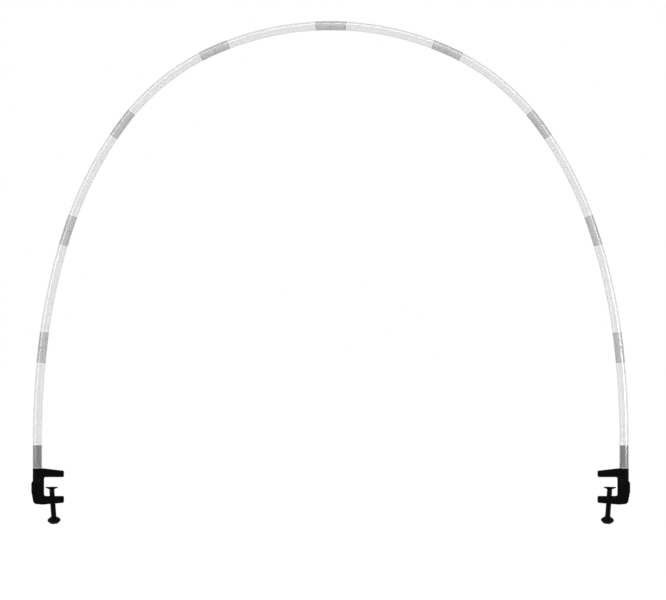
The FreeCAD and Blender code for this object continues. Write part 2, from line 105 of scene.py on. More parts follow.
class ArchSizes(bpy.types.PropertyGroup):
    """The tubes and the line that they follow."""
    crown_height: length("Crown height", "Tube centreline at the crown, above the table",
                         middle("crown_connector").z)
    tube_length: length("Tube length", "Along the centreline, from joint to joint", 254.7 * MM)
    tube_radius: length("Tube radius", "Outside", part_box("right_crown_tube")[1].y)
    tube_wall: length("Tube wall", "Wall thickness of each tube", 1.5 * MM)
    base_straight: length("Straight foot", "Straight part of the lowest tube", 52 * MM)
    crown_turn: angle("Crown turn", "How far a crown tube bends", 23.8)
    shoulder_turn: angle("Shoulder turn", "How far a shoulder tube bends", 30.1)
    upper_turn: angle("Upper turn", "How far an upper tube bends", 18)
    lower_turn: angle("Lower turn", "How far a lower tube bends", 11.8)
    end_round: length("End round", "Rounding of a tube's cut ends", 0.3 * MM)
    sides: count("Sides", "Faces round a tube", 56)


class ConnectorSizes(bpy.types.PropertyGroup):
    """The spigots that join the tubes."""
    reach: length("Reach", "From the joint to the spigot's end", 33 * MM)
    radius: length("Radius", "Spigot outside, without its ribs", 8.0 * MM)
    wall: length("Wall", "Spigot wall thickness", 1.45 * MM)
    collar_width: length("Collar width", "Exposed ring between two tubes", 1.5 * MM)
    rib_height: length("Rib height", "Grip ribs above the spigot", 0.3 * MM)
    rib_margin: length("Rib margin", "Plain length at each end of a rib", 3 * MM)
    rib_spacing: count("Rib spacing", "Faces from rib to rib", 4)


class ClampSizes(bpy.types.PropertyGroup):
    """The feet; heights along the screw run from the joint that its travel starts from."""
    edge_round: length("Edge round", "Rounding of the clamp frame's edges", 0.7 * MM)
    plug_radius: length("Plug radius", "Post inside the leg", 8.35 * MM)
    shank_radius: length("Shank radius", "Post inside the clamp's socket", 5.95 * MM)
    groove_radius: length("Groove radius", "Post at its pin's groove", 3.6 * MM)
    groove_width: length("Groove width", "Along the post", 3.6 * MM)
    thread_radius: length("Thread radius", "Over the screw's crests", 5.9 * MM)
    thread_depth: length("Thread depth", "From crest to root", 0.5 * MM)
    pitch: length("Thread pitch", "Rise of the screw in one turn", 2.5 * MM)
    thread_top: length("Thread top", "Height of the screw's shoulder", 15.1 * MM)
    bearing_radius: length("Bearing radius", "Screw's end inside the swivel stud", 3 * MM)
    bearing_length: length("Bearing length", "Screw's end above its shoulder", 6 * MM)
    knob_top: length("Knob top", "Where the knob starts, below zero", 36.2 * MM)
    knob_middle: length("Knob middle", "Where the knob is widest, below zero", 43.5 * MM)
    knob_base: length("Knob base", "Where the knob ends, below zero", 51.9 * MM)
    knob_radius: length("Knob radius", "At its widest", 14.0 * MM)
    hub_radius: length("Hub radius", "Knob at its top", 6.3 * MM)
    foot_radius: length("Foot radius", "Knob at its base", 5.6 * MM)
    flutes: count("Knob flutes", "Finger flutes round the knob", 10)
    flute_depth: number("Flute depth", "As a share of the radius", 0.012)
    stud_radius: length("Stud radius", "Swivel stud's cap", 5.5 * MM)
    stud_top: length("Stud top", "Where the cap ends", 23 * MM)
    stud_taper: length("Stud taper", "Height of the cap's cone", 2.1 * MM)
    neck_radius: length("Neck radius", "Between the cap and the button", 1.8 * MM)
    button_radius: length("Button radius", "What the pad tilts on", 3.2 * MM)
    button_height: length("Button height", "Thickness of the button", 1 * MM)
    pad_radius: length("Pad radius", "Round foot under the table", 13.1 * MM)
    pad_rise: length("Pad rise", "Pad's face above the button's middle", 2.3 * MM)
    pad_rim: length("Pad rim", "Thickness of the pad at its edge", 2.3 * MM)
    pad_drop: length("Pad drop", "Pad's mouth below the button's middle", 1.5 * MM)
    skirt_radius: length("Skirt radius", "Pad's collar round the stud's cap", 6.4 * MM)
    skirt_drop: length("Skirt drop", "Collar's foot below the button's middle", 3.0 * MM)
    mouth_radius: length("Mouth radius", "Round the stud's neck", 2.6 * MM)


class FinishColours(bpy.types.PropertyGroup):
    """The colours that the materials start from."""
    tube: colour("Tube", "Milky tube wall", (0.71, 0.71, 0.71))
    connector: colour("Connector", "Pale grey connector", (0.90, 0.90, 0.90))
    seat_ring: colour("Seat ring", "Grey ring at the leg's foot", (0.46, 0.46, 0.46))
    black: colour("Black plastic", "Clamp, post, screw, knob and pad", (0.0016, 0.0016, 0.0015))
    steel: colour("Steel", "Blackened cross pin", (0.03, 0.03, 0.03))


class StageSettings(bpy.types.PropertyGroup):
    """Camera, floor and lamps."""
    pixel: length("Pixel size", "What one pixel of the picture shows at the object",
                  2.127 * MM)
    axis_column: number("Axis column", "Column of the arch's middle", 330.74)
    table_row: number("Table row", "Row of the upper jaws' underside", 477.06)
    distance: length("Camera distance", "From the object's middle", 14.0)
    floor_size: length("Floor size", "Side of the square floor", 80.0)
    room_below: length("Room below", "From the knobs at rest down to the floor", 0.06)
    floor_glow: number("Floor glow", "Its light towards the camera", 1.13)
    glow_share: number("Glow share", "Glow against the lit floor", 0.78)
    world_light: number("World light", "Strength on the object", 0.62)
    softbox_power: number("Softbox power", "Front lamp, in watts", 75)
    strip_power: number("Strip power", "Each strip lamp, in watts", 0.38)
    post_strip_power: number("Post strip power", "Each of the two lowest strips, in watts", 1.2)
    ring_height: length("Ring height", "Middle of the strip lamps' half ring", 0.34)
    ring_radius: length("Ring radius", "Where the strips point", 0.62)
    strips: count("Strips", "Strip lamps round the arch", 9)
    strip_angle: angle("Strip angle", "From the camera's side, out from the arch", 57)
    strip_distance: length("Strip distance", "From each strip to the tube that it lights", 0.7)
    strip_length: length("Strip length", "Along the tube", 1.0)
    strip_width: length("Strip width", "Across the tube", 0.56)
    strip_spread: angle("Strip spread", "How wide each strip shines", 43)


# ---- modelling helpers


def deselect():
    bpy.ops.object.select_all(action="DESELECT")


def edit(piece):
    bpy.context.view_layer.objects.active = piece
    piece.select_set(True)
    bpy.ops.object.mode_set(mode="EDIT")
    bpy.ops.mesh.select_mode(type="FACE")


def leave_edit():
    bpy.ops.object.mode_set(mode="OBJECT")


def new_circle(sides, radius, spot=(0, 0, 0), turn=(0, 0, 0), fill="NOTHING"):
    """A circle as a new object, with its place moved into its mesh."""
    deselect()
    bpy.ops.mesh.primitive_circle_add(vertices=sides, radius=radius, fill_type=fill,
                                      location=spot, rotation=turn)
    bpy.ops.object.transform_apply(location=True, rotation=True, scale=True)
    return bpy.context.object


def select_faces(piece, wanted):
    """Selects the faces whose middle and normal the test accepts."""
    mesh = bmesh.from_edit_mesh(piece.data)
    for face in mesh.faces:
        face.select_set(wanted(face.calc_center_median(), face.normal))
    bmesh.update_edit_mesh(piece.data)


def push_out(distance):
    """Extrudes the selected faces along their own normals."""
    bpy.ops.mesh.extrude_region_shrink_fatten(TRANSFORM_OT_shrink_fatten={"value": distance})


def raise_by(height):
    """Extrudes the selected faces straight up."""
    bpy.ops.mesh.extrude_region_move(TRANSFORM_OT_translate={"value": (0, 0, height)})


def weld():
    bpy.ops.mesh.select_all(action="SELECT")
    bpy.ops.mesh.remove_doubles(threshold=1e-6)


def outward_faces():
    weld()
    bpy.ops.mesh.normals_make_consistent(inside=False)


def round_edges(piece, width, limit=50, segments=2):
    """A bevel on every edge sharper than the limit, applied."""
    bevel = piece.modifiers.new("edge_round", "BEVEL")
    bevel.width = width
    bevel.segments = segments
    bevel.limit_method = "ANGLE"
    bevel.angle_limit = math.radians(limit)
    bpy.context.view_layer.objects.active = piece
    bpy.ops.object.modifier_apply(modifier=bevel.name)


def smooth(piece, limit=32):
    """Shades smooth, but for the edges that are sharper than the limit."""
    deselect()
    piece.select_set(True)
    bpy.context.view_layer.objects.active = piece
    bpy.ops.object.shade_smooth_by_angle(angle=math.radians(limit))


# A flute's cross-section: shares of its depth, and corners away from its middle.
FLUTE_SHAPE = ((1.0, 0), (0.7, 1), (0.2, 2))


def stack(name, profile, sides, flutes=0, flute_depth=0.0):
    """A turned form, as a disc that is extruded from one radius and height to the next."""
    (radius, height), *rest = profile
    piece = new_circle(sides, radius, spot=(0, 0, height), fill="NGON")
    piece.name = name
    edit(piece)
    for depth_share, offset in FLUTE_SHAPE if flutes else ():
        mesh = bmesh.from_edit_mesh(piece.data)
        step = sides // flutes
        bpy.ops.mesh.select_mode(type="VERT")
        bpy.ops.mesh.select_all(action="DESELECT")
        mesh.verts.ensure_lookup_table()
        for corner, vertex in enumerate(mesh.verts):
            vertex.select_set(corner % step in (offset, (step - offset) % step))
        bmesh.update_edit_mesh(piece.data)
        share = 1 - flute_depth * depth_share
        bpy.ops.transform.resize(value=(share, share, 1), center_override=(0, 0, height))
    bpy.ops.mesh.select_mode(type="FACE")
    bpy.ops.mesh.select_all(action="SELECT")
    for next_radius, next_height in rest:
        raise_by(next_height - height)
        share = next_radius / radius
        if share != 1:
            bpy.ops.transform.resize(value=(share, share, 1),
                                     center_override=(0, 0, next_height))
        radius, height = next_radius, next_height
    outward_faces()
    leave_edit()
    return piece


def flat_ring(sides, outer, inner, spot, turn=(0, 0, 0)):
    """A flat ring as a new object, open for editing with its faces selected."""
    piece = new_circle(sides, outer, spot, turn)
    edit(piece)
    bpy.ops.mesh.primitive_circle_add(vertices=sides, radius=inner, location=spot,
                                      rotation=turn)
    bpy.ops.mesh.select_all(action="SELECT")
    bpy.ops.mesh.bridge_edge_loops()
    bpy.ops.mesh.select_all(action="SELECT")
    return piece


def join(pieces):
    deselect()
    for piece in pieces:
        piece.select_set(True)
    bpy.context.view_layer.objects.active = pieces[0]
    bpy.ops.object.join()
    return pieces[0]


def put(piece, matrix):
    """Moves a piece's mesh; the object itself stays at the origin."""
    piece.data.transform(matrix)
    piece.data.update()


def other_side(piece, name):
    """A copy for the left side: the right one turned half round the vertical axis."""
    twin = piece.copy()
    twin.data = piece.data.copy()
    twin.name = name
    bpy.context.scene.collection.objects.link(twin)
    put(twin, HALF_TURN)
    return twin


def dress(piece, node, material):
    """Gives a finished piece its material, its body and the solid that it stands for."""
    body = next(name for name, members in frame["record"]["behaviour"]["bodies"].items()
                if node in members)
    piece.name = f"{node}_piece"
    piece.data.name = piece.name
    piece.data.materials.clear()
    piece.data.materials.append(material)
    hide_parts(node)
    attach(piece, body)


def dress_both(piece, ending, material):
    """The right-hand piece and its twin on the left."""
    twin = other_side(piece, f"left_{ending}")
    dress(piece, f"right_{ending}", material)
    dress(twin, f"left_{ending}", material)


# ---- the arch's line


class Arc:
    """A stretch of the arch's right half: a bend about one centre, from a start slope."""

    def __init__(self, start, slope, turn, run):
        self.start, self.slope, self.turn, self.run = start, slope, turn, run
        self.radius = run / turn
        self.centre = start - self.outward(slope) * self.radius

    @staticmethod
    def outward(slope):
        return Vector((math.sin(slope), 0, math.cos(slope)))

    def at(self, distance):
        """The point and slope at a distance along the arc, also before it or past it."""
        slope = self.slope + distance / self.radius
        return self.centre + self.outward(slope) * self.radius, slope

    def station(self, point):
        """How far along, how far round and how far out a point of the tube lies."""
        reach = point - self.centre
        slope = math.atan2(reach.x, reach.z)
        out = math.hypot(reach.x, reach.z) - self.radius
        return (slope - self.slope) * self.radius, math.atan2(point.y, out), \
            math.hypot(out, point.y)


def arch_arcs(sizes):
    """The right half's tubes from the crown down, each as its arc."""
    spot, slope = Vector((0, 0, sizes.crown_height)), 0.0
    turns = {"crown": sizes.crown_turn, "shoulder": sizes.shoulder_turn,
             "upper": sizes.upper_turn, "lower": sizes.lower_turn}
    turns["base"] = math.pi / 2 - sum(turns.values())
    arcs = {}
    for tube, turn in turns.items():
        run = sizes.tube_length - (sizes.base_straight if tube == "base" else 0)
        arcs[tube] = Arc(spot, slope, turn, run)
        spot, slope = arcs[tube].at(run)
    return arcs


def ring_section(arc, distance, outer, inner, sides):
    """A flat ring across the tube's run, open for editing with its faces selected."""
    spot, slope = arc.at(distance)
    return flat_ring(sides, outer, inner, spot, (0, math.pi / 2 + slope, 0))


def follow(arc, run, step_length=6 * MM):
    """Carries the selected section along the arc."""
    steps = max(1, round(run / step_length))
    bpy.ops.mesh.spin(steps=steps, angle=-run / arc.radius, center=arc.centre, axis=(0, 1, 0))


INNER_TURNS = 4  # added to the map's turns on a tube's inner wall


def map_lengthwise(piece, station, wall_middle=0.0):
    """A UV map: turns round the tube across, more of them on the inner wall; metres up."""
    layer = piece.data.uv_layers.new(name="lengthwise")
    for face in piece.data.polygons:
        around_first = None
        added = INNER_TURNS if station(face.center)[2] < wall_middle else 0
        for loop in face.loop_indices:
            point = piece.data.vertices[piece.data.loops[loop].vertex_index].co
            along, around, _ = station(point)
            share = around / math.tau
            if around_first is None:
                around_first = share
            share -= round(share - around_first)
            layer.data[loop].uv = (share + added, along)


# ---- materials


class Nodes:
    """Short calls for one node tree."""

    def __init__(self, tree):
        self.tree = tree

    def add(self, kind, **settings):
        node = self.tree.nodes.new(kind)
        for name, value in settings.items():
            setattr(node, name, value)
        return node

    def link(self, source, target):
        self.tree.links.new(source, target)

    def math(self, operation, *values):
        node = self.add("ShaderNodeMath", operation=operation)
        for socket, value in zip(node.inputs, values):
            if isinstance(value, (int, float)):
                socket.default_value = value
            else:
                self.link(value, socket)
        return node.outputs[0]

    def noise(self, vector, scale, detail=3.0, distortion=0.0):
        """Noise at a scale that is a number or a socket."""
        node = self.add("ShaderNodeTexNoise")
        if isinstance(scale, bpy.types.NodeSocket):
            self.link(scale, node.inputs["Scale"])
        else:
            node.inputs["Scale"].default_value = scale
        node.inputs["Detail"].default_value = detail
        node.inputs["Distortion"].default_value = distortion
        self.link(vector, node.inputs["Vector"])
        return node.outputs["Fac"]

    def lengthwise(self):
        """The two numbers of the map: turns round the tube, and metres along it."""
        where = self.add("ShaderNodeUVMap", uv_map="lengthwise")
        split = self.add("ShaderNodeSeparateXYZ")
        self.link(where.outputs["UV"], split.inputs[0])
        return split.outputs["X"], split.outputs["Y"]

    def spread(self, value, low, high, to_low=0.0, to_high=1.0):
        node = self.add("ShaderNodeMapRange", interpolation_type="SMOOTHSTEP")
        self.link(value, node.inputs["Value"])
        for name, number in (("From Min", low), ("From Max", high),
                             ("To Min", to_low), ("To Max", to_high)):
            node.inputs[name].default_value = number
        return node.outputs["Result"]

    def band(self, value, start, end, edge=0.0002):
        """1 between the start and the end."""
        return self.math("SUBTRACT", self.spread(value, start - edge, start + edge),
                         self.spread(value, end - edge, end + edge))

    def blend(self, factor, first, second):
        """Mixes two colours, each a socket or four numbers."""
        node = self.add("ShaderNodeMix", data_type="RGBA")
        self.link(factor, node.inputs["Factor"])
        colour_inputs = [socket for socket in node.inputs if socket.type == "RGBA"]
        for socket, value in zip(colour_inputs, (first, second)):
            if isinstance(value, bpy.types.NodeSocket):
                self.link(value, socket)
            else:
                socket.default_value = value
        return next(socket for socket in node.outputs if socket.type == "RGBA")


def new_group(name, outputs, inputs=()):
    """A shader node group with number sockets; returns its nodes and its two ends."""
    tree = bpy.data.node_groups.new(name, "ShaderNodeTree")
    for socket, default in inputs:
        made = tree.interface.new_socket(socket, in_out="INPUT", socket_type="NodeSocketFloat")
        made.default_value = default
    for socket in outputs:
        tree.interface.new_socket(socket, in_out="OUTPUT", socket_type="NodeSocketFloat")
    nodes = Nodes(tree)
    return nodes, nodes.add("NodeGroupInput"), nodes.add("NodeGroupOutput")


def drawn_streaks():
    """Fine lines left along a drawn tube, and a broad cloudiness, both without a seam."""
    nodes, start, end = new_group("drawn_streaks", ("Streaks", "Cloud"),
                                  (("Fineness", 26.0), ("Stretch", 5.0)))
    turns, metres = nodes.lengthwise()
    turn = nodes.math("MULTIPLY", turns, math.tau)
    across = nodes.math("MULTIPLY", nodes.math("COSINE", turn), start.outputs["Fineness"])
    up = nodes.math("MULTIPLY", nodes.math("SINE", turn), start.outputs["Fineness"])
    along = nodes.math("MULTIPLY", metres, start.outputs["Stretch"])
    place = nodes.add("ShaderNodeCombineXYZ")
    for value, socket in zip((across, up, along), place.inputs):
        nodes.link(value, socket)
    nodes.link(nodes.noise(place.outputs[0], 1.0, detail=2.0), end.inputs["Streaks"])
    nodes.link(nodes.noise(place.outputs[0], 0.09, detail=2.0), end.inputs["Cloud"])
    return nodes.tree


def moulded_skin():
    """The fine spark-eroded grain of a mould and the smudges of handling."""
    nodes, start, end = new_group("moulded_skin", ("Grain", "Smudge"),
                                  (("Grain scale", 1400.0), ("Smudge scale", 70.0)))
    where = nodes.add("ShaderNodeTexCoord")
    grain = nodes.noise(where.outputs["Object"], start.outputs["Grain scale"], detail=2.0)
    smudge = nodes.noise(where.outputs["Object"], start.outputs["Smudge scale"], detail=4.0,
                         distortion=0.6)
    nodes.link(grain, end.inputs["Grain"])
    nodes.link(nodes.spread(smudge, 0.38, 0.66), end.inputs["Smudge"])
    return nodes.tree


def worn_edges():
    """Where raised edges have been rubbed, broken up by noise."""
    nodes, start, end = new_group("worn_edges", ("Wear",), (("Amount", 0.5),))
    shape = nodes.add("ShaderNodeNewGeometry")
    where = nodes.add("ShaderNodeTexCoord")
    edge = nodes.spread(shape.outputs["Pointiness"], 0.53, 0.60)
    patches = nodes.spread(nodes.noise(where.outputs["Object"], 160.0, detail=5.0), 0.42, 0.62)
    wear = nodes.math("MULTIPLY", edge, patches)
    nodes.link(nodes.math("MULTIPLY", wear, start.outputs["Amount"]), end.inputs["Wear"])
    return nodes.tree


def use_group(nodes, make, **values):
    """Adds a shared group, which is made the first time that it is used."""
    tree = bpy.data.node_groups.get(make.__name__) or make()
    node = nodes.add("ShaderNodeGroup", node_tree=tree)
    for name, value in values.items():
        node.inputs[name.replace("_", " ")].default_value = value
    return node


def new_material(name, **values):
    """A material with one Principled shader; returns it, its nodes and the shader."""
    material = bpy.data.materials.new(name)
    material.use_nodes = True
    shader = material.node_tree.nodes["Principled BSDF"]
    for socket, value in values.items():
        shader.inputs[socket.replace("_", " ")].default_value = value
    return material, Nodes(material.node_tree), shader


def shade(colour, share=1.0):
    return (*[channel * share for channel in colour], 1.0)


def bump(nodes, shader, height, distance, strength=0.5):
    node = nodes.add("ShaderNodeBump")
    node.inputs["Distance"].default_value = distance
    node.inputs["Strength"].default_value = strength
    nodes.link(height, node.inputs["Height"])
    nodes.link(node.outputs["Normal"], shader.inputs["Normal"])


# How dense a tube's wall looks, from 0 to 1: where nothing fills the bore, seen face on and
# edge on; and over a spigot or a post, edge on outside and all over inside. The bore looks
# clearer by the last share just beside a spigot.
CLEAR_FACE_ON, CLEAR_EDGE_ON = 0.23, 0.62
FILLED_EDGE_ON, FILLED_INNER = 0.92, 0.34
BRIGHT_END, BRIGHT_SHARE = 2.4 * MM, 0.6


def milky_tube(name, colour, filled):
    """A glossy, slightly see-through wall that looks denser at its edges. Where a spigot or
    a post fills the bore, each a start, an end, a tone and a least density, the wall's rim
    shows the tone."""
    material, nodes, shader = new_material(name, IOR=1.7, Specular_IOR_Level=1.0,
                                           Coat_IOR=1.8, Coat_Roughness=0.05)
    lines = use_group(nodes, drawn_streaks)
    turns, metres = nodes.lengthwise()
    outer = nodes.math("LESS_THAN", turns, INNER_TURNS / 2)
    inner = nodes.math("SUBTRACT", 1.0, outer)
    weight = nodes.add("ShaderNodeLayerWeight")
    weight.inputs["Blend"].default_value = 0.35
    facing = weight.outputs["Facing"]

    tone = nodes.spread(lines.outputs["Streaks"], 0.3, 0.7)
    base = nodes.blend(tone, shade(colour, 0.97), shade(colour, 1.03))
    alpha = nodes.spread(facing, 0.25, 1.0, CLEAR_FACE_ON, CLEAR_EDGE_ON)
    for start, end, rim_tone, least in filled:
        rim = nodes.spread(facing, 0.2, 0.5, least, FILLED_EDGE_ON)
        backed = nodes.math("ADD", nodes.math("MULTIPLY", rim, outer),
                            nodes.math("MULTIPLY", inner, FILLED_INNER))
        inside = nodes.band(metres, start, end)
        bright_end = nodes.band(metres, start - BRIGHT_END, end + BRIGHT_END)
        base = nodes.blend(nodes.math("MULTIPLY", inside, outer), base, shade((rim_tone,) * 3))
        alpha = nodes.math("MULTIPLY", alpha, nodes.spread(bright_end, 0, 1, 1.0, BRIGHT_SHARE))
        alpha = nodes.math("ADD", nodes.math("MULTIPLY", backed, inside),
                           nodes.math("MULTIPLY", alpha, nodes.math("SUBTRACT", 1.0, inside)))
    nodes.link(base, shader.inputs["Base Color"])
    nodes.link(alpha, shader.inputs["Alpha"])
    polish = nodes.spread(lines.outputs["Cloud"], 0.3, 0.7, 0.08, 0.16)
    nodes.link(nodes.math("ADD", polish, nodes.math("MULTIPLY", inner, 0.35)),
               shader.inputs["Roughness"])
    nodes.link(outer, shader.inputs["Coat Weight"])
    bump(nodes, shader, lines.outputs["Streaks"], 0.01 * MM)
    return material


def satin_connector(name, colour, bands=()):
    """Pale moulded plastic with faint draw lines and grain, and darker bands across."""
    material, nodes, shader = new_material(name)
    lines = use_group(nodes, drawn_streaks, Fineness=14.0, Stretch=9.0)
    grain = use_group(nodes, moulded_skin, Grain_scale=900.0)
    tone = nodes.spread(lines.outputs["Streaks"], 0.3, 0.7)
    base = nodes.blend(tone, shade(colour, 0.84), shade(colour, 1.06))
    _turns, metres = nodes.lengthwise()
    from_joint = nodes.math("ABSOLUTE", metres)
    for start, end, share in bands:
        base = nodes.blend(nodes.band(from_joint, start, end), base, shade(colour, share))
    nodes.link(base, shader.inputs["Base Color"])
    nodes.link(nodes.spread(grain.outputs["Smudge"], 0, 1, 0.34, 0.46),
               shader.inputs["Roughness"])
    bump(nodes, shader, grain.outputs["Grain"], 0.02 * MM, 0.4)
    return material


def black_plastic(name, colour, grain_scale, roughness, gloss):
    """Black moulded plastic: fine grain, faint smudges and slightly rubbed edges."""
    material, nodes, shader = new_material(name, Specular_IOR_Level=gloss)
    grain = use_group(nodes, moulded_skin, Grain_scale=grain_scale)
    rubbed = use_group(nodes, worn_edges)
    base = nodes.blend(grain.outputs["Smudge"], shade(colour, 0.8), shade(colour, 1.3))
    nodes.link(nodes.blend(rubbed.outputs["Wear"], base, shade(colour, 5.0)),
               shader.inputs["Base Color"])
    nodes.link(nodes.spread(grain.outputs["Smudge"], 0, 1, roughness - 0.05, roughness + 0.06),
               shader.inputs["Roughness"])
    bump(nodes, shader, grain.outputs["Grain"], 0.04 * MM, 0.5)
    return material


def pin_steel(name, colour):
    """A cut steel pin with turning lines."""
    material, nodes, shader = new_material(name, Metallic=1.0)
    where = nodes.add("ShaderNodeTexCoord")
    stretch = nodes.add("ShaderNodeMapping")
    stretch.inputs["Scale"].default_value = (300, 4000, 300)
    nodes.link(where.outputs["Object"], stretch.inputs["Vector"])
    lines = nodes.noise(stretch.outputs["Vector"], 1.0)
    grain = use_group(nodes, moulded_skin)
    nodes.link(nodes.blend(lines, shade(colour, 0.8), shade(colour, 1.1)),
               shader.inputs["Base Color"])
    nodes.link(nodes.spread(grain.outputs["Smudge"], 0, 1, 0.28, 0.42),
               shader.inputs["Roughness"])
    return material


def material_named(name, make, *inputs):
    """Each material is made once and then shared."""
    return bpy.data.materials.get(name) or make(name, *inputs)


def tube_finish(context, tube):
    """The lowest tube is filled by its post at the foot, the others by two spigots."""
    end, reach = context.scene.arch_sizes.tube_length, context.scene.connector_sizes.reach
    past_end = 5 * MM
    # the wall's tone and least density where it is filled
    over_spigot, over_post = (0.37, 0.22), (0.2, 0.16)
    upper = (-past_end, reach, *over_spigot)
    colour = context.scene.arch_colours.tube
    if tube == "base":
        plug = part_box("right_post")[1].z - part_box("right_seat_ring")[1].z
        lower = (end - plug, end + past_end, *over_post)
        return material_named("milky_foot", milky_tube, colour, (upper, lower))
    lower = (end - reach, end + past_end, *over_spigot)
    return material_named("milky_tube", milky_tube, colour, (upper, lower))


def connector_finish(context):
    """The collar and the spigot's two ends are a little darker. On the collar this is partly
    painted shade of the gap between the collar and the tube ends, and partly the bare collar's own
    darker tone.
    """
    sizes, share = context.scene.connector_sizes, 0.78
    # the first band is painted shade in the gap at the collar, over the collar's own darker tone;
    # the second darkens the spigot's ends
    bands = ((-1 * MM, sizes.collar_width / 2 + 0.1 * MM, share),
             (sizes.reach - 2.6 * MM, sizes.reach + 1 * MM, share))
    return material_named("connector_grey", satin_connector,
                          context.scene.arch_colours.connector, bands)


def ring_finish(context):
    return material_named("ring_grey", satin_connector, context.scene.arch_colours.seat_ring)


def dress_black(context, piece, ending, name, grain_scale=1400.0, roughness=0.5, gloss=0.035):
    """A black piece and its twin on the left."""
    finish = material_named(name, black_plastic, context.scene.arch_colours.black, grain_scale,
                            roughness, gloss)
    dress_both(piece, ending, finish)


# ---- the arch


class ARCH_OT_tubes(bpy.types.Operator):
    """Model the ten bent tubes"""
    bl_idname = "arch.tubes"
    bl_label = "Tubes"

    def execute(self, context):
        sizes = context.scene.arch_sizes
        end_gap = 0.05 * MM
        gap = context.scene.connector_sizes.collar_width / 2 + end_gap
        inner = sizes.tube_radius - sizes.tube_wall
        for tube, arc in arch_arcs(sizes).items():
            piece = ring_section(arc, gap, sizes.tube_radius, inner, sizes.sides)
            if tube == "base":
                follow(arc, arc.run - gap)
                raise_by(-sizes.base_straight)
            else:
                follow(arc, arc.run - 2 * gap)
            outward_faces()
            leave_edit()
            round_edges(piece, sizes.end_round, limit=60)
            map_lengthwise(piece, arc.station, sizes.tube_radius - sizes.tube_wall / 2)
            smooth(piece)
            dress_both(piece, f"{tube}_tube", tube_finish(context, tube))
        return {"FINISHED"}


class ARCH_OT_connectors(bpy.types.Operator):
    """Model the nine ribbed connectors with their collars"""
    bl_idname = "arch.connectors"
    bl_label = "Connectors"

    def model(self, context, above, below):
        """A spigot that follows the tube above to the joint, and then the tube below."""
        arch, sizes = context.scene.arch_sizes, context.scene.connector_sizes
        half_collar = sizes.collar_width / 2
        piece = ring_section(above, above.run - sizes.reach, sizes.radius,
                             sizes.radius - sizes.wall, arch.sides)
        follow(above, sizes.reach - half_collar)
        follow(below, sizes.collar_width)
        follow(below, sizes.reach - half_collar)
        outward_faces()
        joint = below.start
        along = Vector((math.cos(below.slope), 0, -math.sin(below.slope)))

        def on_outside(centre):
            arc = below if (centre - joint).dot(along) > 0 else above
            distance, around, out = arc.station(centre)
            from_joint = distance if arc is below else distance - above.run
            return from_joint, around, out > sizes.radius - sizes.wall / 2

        def on_collar(centre, _normal):
            from_joint, _around, outside = on_outside(centre)
            return outside and abs(from_joint) < half_collar

        def on_rib(centre, _normal):
            from_joint, around, outside = on_outside(centre)
            column = math.floor(around / math.tau * arch.sides)
            plain = sizes.reach - sizes.rib_margin
            return (outside and half_collar * 2 < abs(from_joint) < plain
                    and column % sizes.rib_spacing == 0)

        select_faces(piece, on_rib)
        push_out(sizes.rib_height)
        select_faces(piece, on_collar)
        push_out(arch.tube_radius - sizes.radius)
        outward_faces()
        leave_edit()
        round_edges(piece, 0.2 * MM, limit=60)
        map_lengthwise(piece, below.station)
        smooth(piece)
        return piece

    def execute(self, context):
        arcs = arch_arcs(context.scene.arch_sizes)
        crown = arcs["crown"]
        mirrored = Arc(crown.start, -crown.turn, crown.turn, crown.run)
        mirrored.centre = crown.centre
        finish = connector_finish(context)
        dress(self.model(context, mirrored, crown), "crown_connector", finish)
        names = list(arcs)
        for above, below in zip(names, names[1:]):
            piece = self.model(context, arcs[above], arcs[below])
            dress_both(piece, f"{above}_connector", finish)
        return {"FINISHED"}


# ---- the feet


def joint_frame(name):
    """The upright frame of a joint or mount, turned so that +Z runs along its axis."""
    record = frame["record"]
    listed = record["behaviour"]["joints"] + record["mounts"]
    found = next(entry for entry in listed if entry["name"] == name)
    spot, axis = Vector(found["pos_m"]), Vector(found["axis"])
    lean = Vector((0, 0, 1)).rotation_difference(axis)
    return Matrix.Translation(spot) @ lean.to_matrix().to_4x4()


class ARCH_OT_posts(bpy.types.Operator):
    """Model the posts, their cross pins and the rings that the legs stand on"""
    bl_idname = "arch.posts"
    bl_label = "Posts"

    def execute(self, context):
        arch, sizes = context.scene.arch_sizes, context.scene.clamp_sizes
        (low, high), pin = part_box("right_post"), middle("right_post_pin")
        ring_low, ring_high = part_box("right_seat_ring")
        axis = Matrix.Translation((middle("right_post").x, 0, 0))
        half_groove = sizes.groove_width / 2
        post = stack("post", [
            (sizes.shank_radius - 0.6 * MM, low.z),
            (sizes.shank_radius, low.z + 0.6 * MM),
            (sizes.shank_radius, pin.z - half_groove),
            (sizes.groove_radius, pin.z - half_groove),
            (sizes.groove_radius, pin.z + half_groove),
            (sizes.shank_radius, pin.z + half_groove),
            (sizes.shank_radius, ring_low.z),
            (sizes.plug_radius, ring_low.z),
            (sizes.plug_radius, high.z - 1.2 * MM),
            (sizes.plug_radius - 1.2 * MM, high.z),
        ], 48)
        put(post, axis)
        smooth(post)
        dress_black(context, post, "post", "post_black", roughness=0.14, gloss=0.8)

        ring = flat_ring(arch.sides, arch.tube_radius, arch.tube_radius - arch.tube_wall,
                         (0, 0, ring_low.z))
        raise_by(ring_high.z - ring_low.z)
        outward_faces()
        leave_edit()
        round_edges(ring, 0.3 * MM)
        put(ring, axis)
        foot = arch_arcs(arch)["base"]
        map_lengthwise(ring, foot.station)
        smooth(ring)
        dress_both(ring, "seat_ring", ring_finish(context))

        low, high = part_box("right_post_pin")
        half, radius = (high.y - low.y) / 2, (high.x - low.x) / 2
        steel = stack("post_pin", [(radius - 0.3 * MM, -half), (radius, 0.3 * MM - half),
                                   (radius, half - 0.3 * MM), (radius - 0.3 * MM, half)], 24)
        put(steel, Matrix.Translation(pin) @ Matrix.Rotation(math.pi / 2, 4, "X"))
        smooth(steel)
        dress_both(steel, "post_pin",
                   material_named("pin_steel", pin_steel, context.scene.arch_colours.steel))
        return {"FINISHED"}


